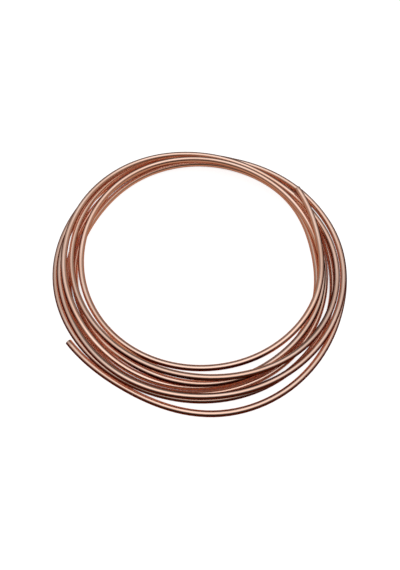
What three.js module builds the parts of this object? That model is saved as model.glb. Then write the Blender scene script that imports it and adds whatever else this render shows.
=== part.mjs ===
// A loose coil of soft copper tube, lying flat: one length of drawn tube that sprang open when it
// was let go, so its turns spread on the near side (-Y) and pile up over each other on the far side.
// Millimetres, +Z up, with the origin on the floor under the middle of the coil.

import * as THREE from 'three';

// Driving dimensions
const TUBE_OD = 6.35;
const WALL = 0.8;
const TURN_GAP = 0.4;
const INNER_TURN_RADIUS = 123;

// The tube starts at its upper free end, START_ANGLE round from +X, and runs clockwise as seen
// from above. Its lower free end is cut END_CUT_ANGLE short of the last station.
const START_ANGLE = 34.5;
const END_CUT_ANGLE = 2.5;
const STATIONS_PER_TURN = 12;

// Where the tube lies at each station, one row per turn, in steps of one tube and its gap.
// LANES counts outwards from the innermost turn: each turn starts on the right, swings out on the
// near side, and comes back in on the far side.
const LANES = [
  1, 0.1, 1.2, 0.7, 0.2, 0.2, 0.2, 0.3, 0.3, 0.2, -0.9, -1.6,
  -0.7, 0.5, 1.7, 2.2, 3.4, 2, 1.9, 1.4, 0, 0.3, -0.3, -0.4,
  0.4, -0.5, 1.2, 2.4, 3.1, 3.2, 2.7, 2.7, 2.3, 1.7, 0.1, -0.7,
  0.2, 2.7, 3.8, 3.5, 2.4, 1.4, 1.3, 1.7, 1.8, 1.9, 1.2, 0.8,
  1, 1, 2.2, 3.4, 4.1, 4.4, 3.2, 2.3, 1, 0.7, 0.3, 0.2,
  1.5, 3.8, 4.7, 5, 4.8, 5, 3.6, 3.6, 2.4, 1.9, 0.6, 0.1,
  2.1, 1.9, 3.7, 4.8, 5.2, 4.9, 4.5, 4.4, 3.4, 3.4, 1.7, 1.4,
  2.9, 4.3, 4.8, 6.7, 7.4, 5.1, 5.8,
];
// LAYERS counts up from the floor: the first turns climb over the later ones on the far side,
// turns 4 and 6 bridge the ones beside them on the near side, and the last turn lies on the floor.
const LAYERS = [
  3.2, 2.2, 2, 0.5, 0, 0, 0, 0.5, 1.7, 2.1, 2.6, 3,
  2.1, 0.9, 1, 1, 1.5, 0.7, 0, 0, 0, 0, 0.7, 0.8,
  0, 0, 0, 0, 0, 0, 1.5, 2, 2.6, 2.4, 2.5, 2.5,
  1.7, 1.4, 1, 2.1, 2.5, 1.4, 1, 1, 1.6, 1.3, 0.8, 1.1,
  0.9, 0, 0, 0, 0, 0.3, 0.1, 0, 0.5, 1, 1.4, 1.9,
  2.2, 1.2, 1, 1, 1.5, 2.5, 1, 1, 0.6, 0, 0, 0,
  0, 0, 0, 0, 0.5, 1.2, 0.5, 0, 0, 0, 0, 0,
  0, 0, 0, 0, 0, 0, 0,
];

// Facets
const OUTER_SIDES = 10;
const BORE_SIDES = 6;
const STEPS_PER_TURN = 40;

const TUBE_RADIUS = TUBE_OD / 2;
const BORE_RADIUS = TUBE_RADIUS - WALL;
const PITCH = TUBE_OD + TURN_GAP;
const LAST_STATION = LANES.length - 1 - (END_CUT_ANGLE / 360) * STATIONS_PER_TURN;
const TURNS = LAST_STATION / STATIONS_PER_TURN;

// The value of one station, carried on in a straight line past either end of the list.
function stationValue(values, index) {
  const last = values.length - 1;
  if (index < 0) return 2 * values[0] - values[-index];
  if (index > last) return 2 * values[last] - values[2 * last - index];
  return values[index];
}

// A uniform cubic B-spline through the stations, so that the tube never kinks.
function blend(values, position) {
  const whole = Math.floor(position);
  const t = position - whole;
  const weights = [(1 - t) ** 3, 3 * t ** 3 - 6 * t ** 2 + 4, -3 * t ** 3 + 3 * t ** 2 + 3 * t + 1, t ** 3];
  return weights.reduce((sum, weight, i) => sum + (weight * stationValue(values, whole - 1 + i)) / 6, 0);
}

// The tube's centre line. Equal steps of t are equal angles, so that turns which lie side by
// side are faceted alike and keep their gap.
class LooseCoil extends THREE.Curve {
  getPoint(t, target = new THREE.Vector3()) {
    const station = t * LAST_STATION;
    const angle = THREE.MathUtils.degToRad(START_ANGLE - (station * 360) / STATIONS_PER_TURN);
    const radius = INNER_TURN_RADIUS + PITCH * blend(LANES, station);
    const height = TUBE_RADIUS + PITCH * blend(LAYERS, station);
    return target.set(radius * Math.cos(angle), radius * Math.sin(angle), height);
  }

  getUtoTmapping(u) {
    return u;
  }
}

function ringPoints(radius, sides) {
  return Array.from({ length: sides }, (_, i) => {
    const angle = (i * 2 * Math.PI) / sides;
    return new THREE.Vector2(radius * Math.cos(angle), radius * Math.sin(angle));
  });
}

// The tube: a ring section swept along the centre line, open at both ends.
function makeCopperTube() {
  const section = new THREE.Shape(ringPoints(TUBE_RADIUS, OUTER_SIDES));
  section.holes.push(new THREE.Path(ringPoints(BORE_RADIUS, BORE_SIDES)));
  const geometry = new THREE.ExtrudeGeometry(section, {
    extrudePath: new LooseCoil(),
    steps: Math.round(TURNS * STEPS_PER_TURN),
  });
  geometry.computeBoundingBox();
  const middle = geometry.boundingBox.getCenter(new THREE.Vector3());
  geometry.translate(-middle.x, -middle.y, -geometry.boundingBox.min.z);
  const copper = new THREE.MeshStandardMaterial({ color: '#b5714f', roughness: 0.28, metalness: 1 });
  const tube = new THREE.Mesh(geometry, copper);
  tube.name = 'copper_tube';
  return tube;
}

const coil = new THREE.Group();
coil.add(makeCopperTube());

export default coil;
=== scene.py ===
import math

import bmesh
import bpy
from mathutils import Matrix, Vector


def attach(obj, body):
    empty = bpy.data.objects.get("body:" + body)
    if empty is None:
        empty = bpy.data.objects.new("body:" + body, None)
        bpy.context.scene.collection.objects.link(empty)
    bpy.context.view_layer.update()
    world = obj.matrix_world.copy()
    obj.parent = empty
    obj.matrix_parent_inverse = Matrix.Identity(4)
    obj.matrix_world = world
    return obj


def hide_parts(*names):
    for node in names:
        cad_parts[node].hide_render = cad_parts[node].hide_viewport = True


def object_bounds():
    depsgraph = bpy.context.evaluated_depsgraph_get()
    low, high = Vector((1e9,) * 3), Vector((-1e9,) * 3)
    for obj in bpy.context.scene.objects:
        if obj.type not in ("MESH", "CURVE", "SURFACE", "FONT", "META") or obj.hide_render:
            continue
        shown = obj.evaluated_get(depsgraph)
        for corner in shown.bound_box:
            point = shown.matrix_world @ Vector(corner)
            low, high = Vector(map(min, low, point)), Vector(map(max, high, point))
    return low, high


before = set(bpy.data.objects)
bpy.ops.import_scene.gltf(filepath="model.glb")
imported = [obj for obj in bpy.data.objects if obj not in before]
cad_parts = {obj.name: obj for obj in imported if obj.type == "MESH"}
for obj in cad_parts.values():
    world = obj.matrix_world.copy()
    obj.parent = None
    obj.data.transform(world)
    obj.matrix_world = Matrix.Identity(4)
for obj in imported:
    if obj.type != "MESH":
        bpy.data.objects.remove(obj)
cad_low, cad_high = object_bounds()


# ---------------------------------------------------------------------------------------------
# The camera. It stands in front of the coil and looks down on it at a little over 60 degrees,
# close enough for the near turns to look a little thicker than the far ones.
# ---------------------------------------------------------------------------------------------
CAMERA_PLACE = Vector((0.0004, -0.2843, 0.5246))
CAMERA_AIM = Vector((0.0004, -0.0185, 0.005))
CAMERA_LENS = 35.65

camera = bpy.data.objects.new("camera", bpy.data.cameras.new("camera"))
camera.data.lens = CAMERA_LENS
camera.location = CAMERA_PLACE
camera.rotation_euler = (CAMERA_AIM - CAMERA_PLACE).to_track_quat("-Z", "Y").to_euler()
bpy.context.scene.collection.objects.link(camera)
bpy.context.scene.camera = camera


# ---------------------------------------------------------------------------------------------
# The copper tube. Soft copper is drawn through a die to its size, wound on a drum, and annealed
# until it bends by hand. Let go, the coil springs open: its turns spread on the near side and
# climb over each other on the far side. Both ends were cut square with a tube cutter.
# ---------------------------------------------------------------------------------------------
TUBE_OD = 0.00635
TUBE_WALL = 0.0008
TURN_GAP = 0.0004
INNER_TURN_RADIUS = 0.123
START_ANGLE = 34.5
END_CUT_ANGLE = 2.5
STATIONS_PER_TURN = 12

# Where the tube lies at each station, one row per turn, in steps of one tube and its gap: out
# from the innermost turn, and up from the floor.
LANES = [
    1, 0.1, 1.2, 0.7, 0.2, 0.2, 0.2, 0.3, 0.3, 0.2, -0.9, -1.6,
    -0.7, 0.5, 1.7, 2.2, 3.4, 2, 1.9, 1.4, 0, 0.3, -0.3, -0.4,
    0.4, -0.5, 1.2, 2.4, 3.1, 3.2, 2.7, 2.7, 2.3, 1.7, 0.1, -0.7,
    0.2, 2.7, 3.8, 3.5, 2.4, 1.4, 1.3, 1.7, 1.8, 1.9, 1.2, 0.8,
    1, 1, 2.2, 3.4, 4.1, 4.4, 3.2, 2.3, 1, 0.7, 0.3, 0.2,
    1.5, 3.8, 4.7, 5, 4.8, 5, 3.6, 3.6, 2.4, 1.9, 0.6, 0.1,
    2.1, 1.9, 3.7, 4.8, 5.2, 4.9, 4.5, 4.4, 3.4, 3.4, 1.7, 1.4,
    2.9, 4.3, 4.8, 6.7, 7.4, 5.1, 5.8,
]
LAYERS = [
    3.2, 2.2, 2, 0.5, 0, 0, 0, 0.5, 1.7, 2.1, 2.6, 3,
    2.1, 0.9, 1, 1, 1.5, 0.7, 0, 0, 0, 0, 0.7, 0.8,
    0, 0, 0, 0, 0, 0, 1.5, 2, 2.6, 2.4, 2.5, 2.5,
    1.7, 1.4, 1, 2.1, 2.5, 1.4, 1, 1, 1.6, 1.3, 0.8, 1.1,
    0.9, 0, 0, 0, 0, 0.3, 0.1, 0, 0.5, 1, 1.4, 1.9,
    2.2, 1.2, 1, 1, 1.5, 2.5, 1, 1, 0.6, 0, 0, 0,
    0, 0, 0, 0, 0.5, 1.2, 0.5, 0, 0, 0, 0, 0,
    0, 0, 0, 0, 0, 0, 0,
]
STEPS_PER_TURN = 150
SIDES = 28

TUBE_RADIUS = TUBE_OD / 2
PITCH = TUBE_OD + TURN_GAP
LAST_STATION = len(LANES) - 1 - END_CUT_ANGLE / 360 * STATIONS_PER_TURN


def station_value(values, index):
    """One station's value, carried on in a straight line past either end of the list."""
    last = len(values) - 1
    if index < 0:
        return 2 * values[0] - values[-index]
    if index > last:
        return 2 * values[last] - values[2 * last - index]
    return values[index]


def blend(values, position):
    """A uniform cubic B-spline through the stations, so that the tube never kinks."""
    whole = math.floor(position)
    t = position - whole
    weights = ((1 - t) ** 3, 3 * t**3 - 6 * t**2 + 4, -3 * t**3 + 3 * t**2 + 3 * t + 1, t**3)
    near = (station_value(values, whole - 1 + i) for i in range(4))
    return sum(w * v for w, v in zip(weights, near)) / 6


def route_point(station):
    """The tube's centre line at a station, clockwise as seen from above."""
    angle = math.radians(START_ANGLE - station * 360 / STATIONS_PER_TURN)
    radius = INNER_TURN_RADIUS + PITCH * blend(LANES, station)
    height = TUBE_RADIUS + PITCH * blend(LAYERS, station)
    return Vector((radius * math.cos(angle), radius * math.sin(angle), height))


# The sweep: a ring of sides at each step of the route, by a curve with a round bevel. Such a bevel
# has four sides, and two more for each step of its resolution.
steps = round(LAST_STATION / STATIONS_PER_TURN * STEPS_PER_TURN)
route = bpy.data.curves.new("route", "CURVE")
route.dimensions = "3D"
route.twist_mode = "Z_UP"
route.bevel_depth = TUBE_RADIUS
route.bevel_resolution = SIDES // 2 - 2
spline = route.splines.new("POLY")
spline.points.add(steps)
for i, point in enumerate(spline.points):
    point.co = (*route_point(LAST_STATION * i / steps), 1)
sweep = bpy.data.objects.new("route", route)
bpy.context.scene.collection.objects.link(sweep)
graph = bpy.context.evaluated_depsgraph_get()
skin = bpy.data.meshes.new_from_object(sweep.evaluated_get(graph))
bpy.data.objects.remove(sweep)

bm = bmesh.new()
bm.from_mesh(skin)
bm.verts.ensure_lookup_table()
bmesh.ops.recalc_face_normals(bm, faces=bm.faces)

# Where each point lay while the tube was straight, in metres: along it, and out from its axis.
# The marks that drawing leaves follow this.
straight = bm.verts.layers.float_vector.new("straight")
along = 0.0
for i in range(steps + 1):
    if i:
        along += (spline.points[i].co - spline.points[i - 1].co).length
    for painted_side_shade in range(SIDES):
        turn = painted_side_shade / SIDES * math.tau
        place = Vector((along, TUBE_RADIUS * math.cos(turn), TUBE_RADIUS * math.sin(turn)))
        bm.verts[i * SIDES + painted_side_shade][straight] = place

# The round tube is a hair bigger than the part's faceted one, so the coil is brought to the part's
# size, and then to its place on the floor.
low = Vector([min(v.co[axis] for v in bm.verts) for axis in range(3)])
high = Vector([max(v.co[axis] for v in bm.verts) for axis in range(3)])
trim = Vector([(cad_high[axis] - cad_low[axis]) / (high[axis] - low[axis]) for axis in range(3)])
bmesh.ops.scale(bm, verts=bm.verts, vec=trim)
bmesh.ops.translate(bm, verts=bm.verts, vec=cad_low - low * trim)

bm.to_mesh(skin)
bm.free()
skin.name = "copper_tube_skin"
tube = bpy.data.objects.new("copper_tube_drawn", skin)
bpy.context.scene.collection.objects.link(tube)
for polygon in skin.polygons:
    polygon.use_smooth = True

# The wall behind the skin, with its cut edges just broken by the tube cutter.
DEBURR_WIDTH = 0.0002
DEBURR_STEPS = 2
DEBURR_ANGLE = 60

wall = tube.modifiers.new("wall", "SOLIDIFY")
wall.thickness = TUBE_WALL
wall.offset = -1
deburr = tube.modifiers.new("deburr", "BEVEL")
deburr.width = DEBURR_WIDTH
deburr.segments = DEBURR_STEPS
deburr.limit_method = "ANGLE"
deburr.angle_limit = math.radians(DEBURR_ANGLE)


def linear(colour):
    """A hex sRGB colour as linear red, green and blue, with full alpha."""
    channels = (int(colour[i : i + 2], 16) / 255 for i in (1, 3, 5))
    return (*(c / 12.92 if c <= 0.04045 else ((c + 0.055) / 1.055) ** 2.4 for c in channels), 1)


def add(tree, kind, links=(), **settings):
    """Adds a node, sets its properties, and sets or links its inputs."""
    node = tree.nodes.new(kind)
    for name, value in settings.items():
        setattr(node, name, value)
    for name, value in dict(links).items():
        if isinstance(value, bpy.types.NodeSocket):
            tree.links.new(value, node.inputs[name])
        else:
            node.inputs[name].default_value = value
    return node


# The numbers of a Mix node's two colour inputs, and of its colour output.
FIRST = 6
SECOND = 7
MIXED = 2

# Soft drawn copper: bare metal, rosy where it is bright. It was annealed wound up. Its colour
# carries painted light and shade. The tops of the turns keep the bright bare copper as a painted
# highlight, which gives the coil its thin bright lines. The sides are painted brown as painted
# shade: tan where they face the middle of the coil, nearly black where they face out, and a warm
# matt brown in the places that other turns cover.
COPPER = linear("#fad6c4")
BLOOM = linear("#e0aa8c")
PAINTED_SIDE_SHADE = linear("#e6ae8c")
PAINTED_OPEN_SIDE_SHADE = linear("#ac765c")
PAINTED_FACING_OUT_SHADE = linear("#501e0e")
PAINTED_COVERED_SHADE = linear("#f8a47a")
GRAZING_TINT = linear("#803c20")

# How level the surface lies, from 0 on a side to 1 on top, where the painted highlight on top
# begins and ends.
PAINTED_HIGHLIGHT_RANGE = (0.65, 0.97)
# How far the surface faces out from the middle of the coil, where the painted dark shade on
# the outward side begins and ends. It is measured level with the floor, so heights are left out of it.
PAINTED_FACING_OUT_RANGE = (0.3, 0.65)
LEVEL = (1, 1, 0)
# The share of open air within TURN_REACH. The painted shade of covered places has faded out by
# UNCOVERED, and a side counts as open to the air over AIRED.
TURN_REACH = 0.008
UNCOVERED = 0.65
AIRED = (0.6, 0.85)
AIR_SAMPLES = 16

# Die lines run along the tube. Real ones are about a tenth of a millimetre wide, so they are
# drawn seven times as coarse to show. Bloom lies in patches a few millimetres wide and about a
# thumb's length along the tube.
DIE_LINE_WIDTH = 0.0007
DIE_LINE_LENGTH = 0.08
DIE_LINE_DEPTH = 0.00004
DIE_LINE_STRENGTH = 0.2
DIE_LINE_DETAIL = 3.0
DIE_LINE_RANGE = (0.3, 0.7)
ROUGHNESS = (0.14, 0.24)
BLOOM_WIDTH = 0.004
BLOOM_LENGTH = 0.045
BLOOM_DETAIL = 4.0
BLOOM_RANGE = (0.4, 0.75)
BLOOM_SHARE = 0.6

drawn_copper = bpy.data.materials.new("soft_copper_drawn")
drawn_copper.use_nodes = True
tree = drawn_copper.node_tree
tree.nodes.clear()

place = add(tree, "ShaderNodeAttribute", attribute_name="straight").outputs["Vector"]
die_place = add(tree, "ShaderNodeMapping", {
    "Vector": place, "Scale": (1 / DIE_LINE_LENGTH, 1 / DIE_LINE_WIDTH, 1 / DIE_LINE_WIDTH)})
die_lines = add(tree, "ShaderNodeTexNoise", {
    "Vector": die_place.outputs[0], "Scale": 1.0, "Detail": DIE_LINE_DETAIL})
roughness = add(tree, "ShaderNodeMapRange", {
    "Value": die_lines.outputs["Fac"], "From Min": DIE_LINE_RANGE[0], "From Max": DIE_LINE_RANGE[1],
    "To Min": ROUGHNESS[0], "To Max": ROUGHNESS[1]})
scored = add(tree, "ShaderNodeBump", {
    "Height": die_lines.outputs["Fac"], "Strength": DIE_LINE_STRENGTH, "Distance": DIE_LINE_DEPTH})

bloom_place = add(tree, "ShaderNodeMapping", {
    "Vector": place, "Scale": (1 / BLOOM_LENGTH, 1 / BLOOM_WIDTH, 1 / BLOOM_WIDTH)})
bloom = add(tree, "ShaderNodeTexNoise", {
    "Vector": bloom_place.outputs[0], "Scale": 1.0, "Detail": BLOOM_DETAIL})
bloomed = add(tree, "ShaderNodeMapRange", {
    "Value": bloom.outputs["Fac"], "From Min": BLOOM_RANGE[0], "From Max": BLOOM_RANGE[1],
    "To Min": 0.0, "To Max": BLOOM_SHARE})
top = add(tree, "ShaderNodeMix", {"Factor": bloomed.outputs[0], FIRST: COPPER, SECOND: BLOOM},
          data_type="RGBA")

coordinates = add(tree, "ShaderNodeTexCoord")
level = add(tree, "ShaderNodeSeparateXYZ", {0: coordinates.outputs["Normal"]}).outputs["Z"]
# Painted highlight: the more level the surface lies, the more it takes the bright top colour.
painted_top_highlight = add(tree, "ShaderNodeMapRange", {
    "Value": level, "From Min": PAINTED_HIGHLIGHT_RANGE[0], "From Max": PAINTED_HIGHLIGHT_RANGE[1], "To Min": 0.0, "To Max": 1.0})
out_from_middle = add(tree, "ShaderNodeVectorMath", {0: coordinates.outputs["Object"], 1: LEVEL},
                      operation="MULTIPLY")
straight_out = add(tree, "ShaderNodeVectorMath", {0: out_from_middle.outputs[0]}, operation="NORMALIZE")
facing_out = add(tree, "ShaderNodeVectorMath", {
    0: straight_out.outputs[0], 1: coordinates.outputs["Normal"]}, operation="DOT_PRODUCT")
painted_facing_out_mask = add(tree, "ShaderNodeMapRange", {
    "Value": facing_out.outputs["Value"], "From Min": PAINTED_FACING_OUT_RANGE[0], "From Max": PAINTED_FACING_OUT_RANGE[1],
    "To Min": 0.0, "To Max": 1.0})
open_air = add(tree, "ShaderNodeAmbientOcclusion", {"Distance": TURN_REACH}, samples=AIR_SAMPLES)
# Painted shade between turns: where other turns close in, the metal gives way to a warm matt brown.
clear_of_painted_shade = add(tree, "ShaderNodeMapRange", {
    "Value": open_air.outputs["AO"], "From Min": 0.0, "From Max": UNCOVERED, "To Min": 0.0, "To Max": 1.0})
aired = add(tree, "ShaderNodeMapRange", {
    "Value": open_air.outputs["AO"], "From Min": AIRED[0], "From Max": AIRED[1],
    "To Min": 0.0, "To Max": 1.0})
# Painted shade on the sides: light brown where other turns are near, tan where the side stands open.
painted_side_shade = add(tree, "ShaderNodeMix", {"Factor": aired.outputs[0], FIRST: PAINTED_SIDE_SHADE, SECOND: PAINTED_OPEN_SIDE_SHADE},
           data_type="RGBA")
skin_colour = add(tree, "ShaderNodeMix", {
    "Factor": painted_top_highlight.outputs[0], FIRST: painted_side_shade.outputs[MIXED], SECOND: top.outputs[MIXED]},
    data_type="RGBA")
# Painted shade: sides that face out and stand open are painted nearly black.
painted_facing_out_share = add(tree, "ShaderNodeMath", {0: painted_facing_out_mask.outputs[0], 1: aired.outputs[0]},
                   operation="MULTIPLY")
with_painted_facing_out_shade = add(tree, "ShaderNodeMix", {
    "Factor": painted_facing_out_share.outputs[0], FIRST: skin_colour.outputs[MIXED], SECOND: PAINTED_FACING_OUT_SHADE},
    data_type="RGBA")
colour = add(tree, "ShaderNodeMix", {
    "Factor": clear_of_painted_shade.outputs[0], FIRST: PAINTED_COVERED_SHADE, SECOND: with_painted_facing_out_shade.outputs[MIXED]},
    data_type="RGBA")
surface = add(tree, "ShaderNodeBsdfPrincipled", {
    "Base Color": colour.outputs[MIXED], "Metallic": clear_of_painted_shade.outputs[0], "Roughness": roughness.outputs[0],
    "Specular Tint": GRAZING_TINT, "Normal": scored.outputs[0]})
add(tree, "ShaderNodeOutputMaterial", {"Surface": surface.outputs[0]})
skin.materials.clear()
skin.materials.append(drawn_copper)

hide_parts("copper_tube")
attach(tube, "root")


# ---------------------------------------------------------------------------------------------
# The floor the coil lies on: a sheet of white paper, matt and lit until it reads as plain white.
# It is big enough to run out of sight. In the narrow places between turns its colour and glow
# are painted dark copper brown by an occlusion mask: a painted shadow, warmed like light the
# copper throws back.
# ---------------------------------------------------------------------------------------------
FLOOR_SIZE = 12.0
PAPER = linear("#aaaaaa")
PAPER_GLOW = 2.2
SHADE_REACH = 0.008
SHADED = (0.08, 0.28)
SHADE_SAMPLES = 16
PAINTED_FLOOR_SHADE = linear("#481e11")

bm = bmesh.new()
bmesh.ops.create_grid(bm, x_segments=1, y_segments=1, size=FLOOR_SIZE / 2)
bmesh.ops.translate(bm, verts=bm.verts, vec=(0, 0, cad_low.z))
floor_mesh = bpy.data.meshes.new("floor")
bm.to_mesh(floor_mesh)
bm.free()
floor = bpy.data.objects.new("floor", floor_mesh)
bpy.context.scene.collection.objects.link(floor)

# White paper: no shine and no grain that shows at this distance.
white_paper = bpy.data.materials.new("white_paper")
white_paper.use_nodes = True
tree = white_paper.node_tree
tree.nodes.clear()
ray = add(tree, "ShaderNodeLightPath")
seen = add(tree, "ShaderNodeMath", {0: ray.outputs["Is Camera Ray"], 1: ray.outputs["Is Glossy Ray"]},
           operation="MAXIMUM")
seen_at_all = add(tree, "ShaderNodeMath", {0: seen.outputs[0], 1: ray.outputs["Is Transmission Ray"]},
                  operation="MAXIMUM")
# Painted shadow: where the coil closes over the paper, its colour and glow turn dark copper brown.
under_coil = add(tree, "ShaderNodeAmbientOcclusion", {"Distance": SHADE_REACH}, samples=SHADE_SAMPLES)
lit = add(tree, "ShaderNodeMapRange", {
    "Value": under_coil.outputs["AO"], "From Min": SHADED[0], "From Max": SHADED[1],
    "To Min": 0.0, "To Max": 1.0})
paper_with_painted_shade = add(tree, "ShaderNodeMix", {"Factor": lit.outputs[0], FIRST: PAINTED_FLOOR_SHADE, SECOND: PAPER},
           data_type="RGBA")
matt = add(tree, "ShaderNodeBsdfDiffuse", {"Color": paper_with_painted_shade.outputs[MIXED]})
glow = add(tree, "ShaderNodeMath", {0: seen_at_all.outputs[0], 1: PAPER_GLOW}, operation="MULTIPLY")
glowing = add(tree, "ShaderNodeEmission", {"Color": paper_with_painted_shade.outputs[MIXED], "Strength": glow.outputs[0]})
paper = add(tree, "ShaderNodeAddShader", {0: matt.outputs[0], 1: glowing.outputs[0]})
add(tree, "ShaderNodeOutputMaterial", {"Surface": paper.outputs[0]})
floor_mesh.materials.append(white_paper)


# ---------------------------------------------------------------------------------------------
# The light: one wide soft lamp straight overhead, a softer one on either side, and a low pale
# screen all round. Between them the room is dim, which deepens the brown of the metal's sides.
# ---------------------------------------------------------------------------------------------
OVERHEAD_STRENGTH = 1.65
OVERHEAD_FALLOFF = 5.0
SIDE_STRENGTH = 0.9
SCREEN_STRENGTH = 0.3
ROOM_STRENGTH = 0.06
# The screen's upper edge fades out between these heights, where straight up is 1.
SCREEN_EDGE = (0.1, 0.3)

studio = bpy.data.worlds.new("studio")
bpy.context.scene.world = studio
studio.use_nodes = True
tree = studio.node_tree
tree.nodes.clear()
direction = add(tree, "ShaderNodeSeparateXYZ", {0: add(tree, "ShaderNodeTexCoord").outputs["Generated"]})
above = add(tree, "ShaderNodeMath", {0: direction.outputs["Z"], 1: 0.0}, operation="MAXIMUM")
overhead = add(tree, "ShaderNodeMath", {0: above.outputs[0], 1: OVERHEAD_FALLOFF}, operation="POWER")
screen = add(tree, "ShaderNodeMapRange", {
    "Value": direction.outputs["Z"], "From Min": SCREEN_EDGE[0], "From Max": SCREEN_EDGE[1],
    "To Min": SCREEN_STRENGTH, "To Max": ROOM_STRENGTH})
sideways = add(tree, "ShaderNodeMath", {0: direction.outputs["X"], 1: direction.outputs["X"]},
               operation="MULTIPLY")
around = add(tree, "ShaderNodeMath", {0: sideways.outputs[0], 1: SIDE_STRENGTH, 2: screen.outputs[0]},
             operation="MULTIPLY_ADD")
sky = add(tree, "ShaderNodeMath", {0: overhead.outputs[0], 1: OVERHEAD_STRENGTH, 2: around.outputs[0]},
          operation="MULTIPLY_ADD")
backdrop = add(tree, "ShaderNodeBackground", {"Strength": sky.outputs[0]})
add(tree, "ShaderNodeOutputWorld", {"Surface": backdrop.outputs[0]})

bpy.context.scene.view_settings.view_transform = "Standard"
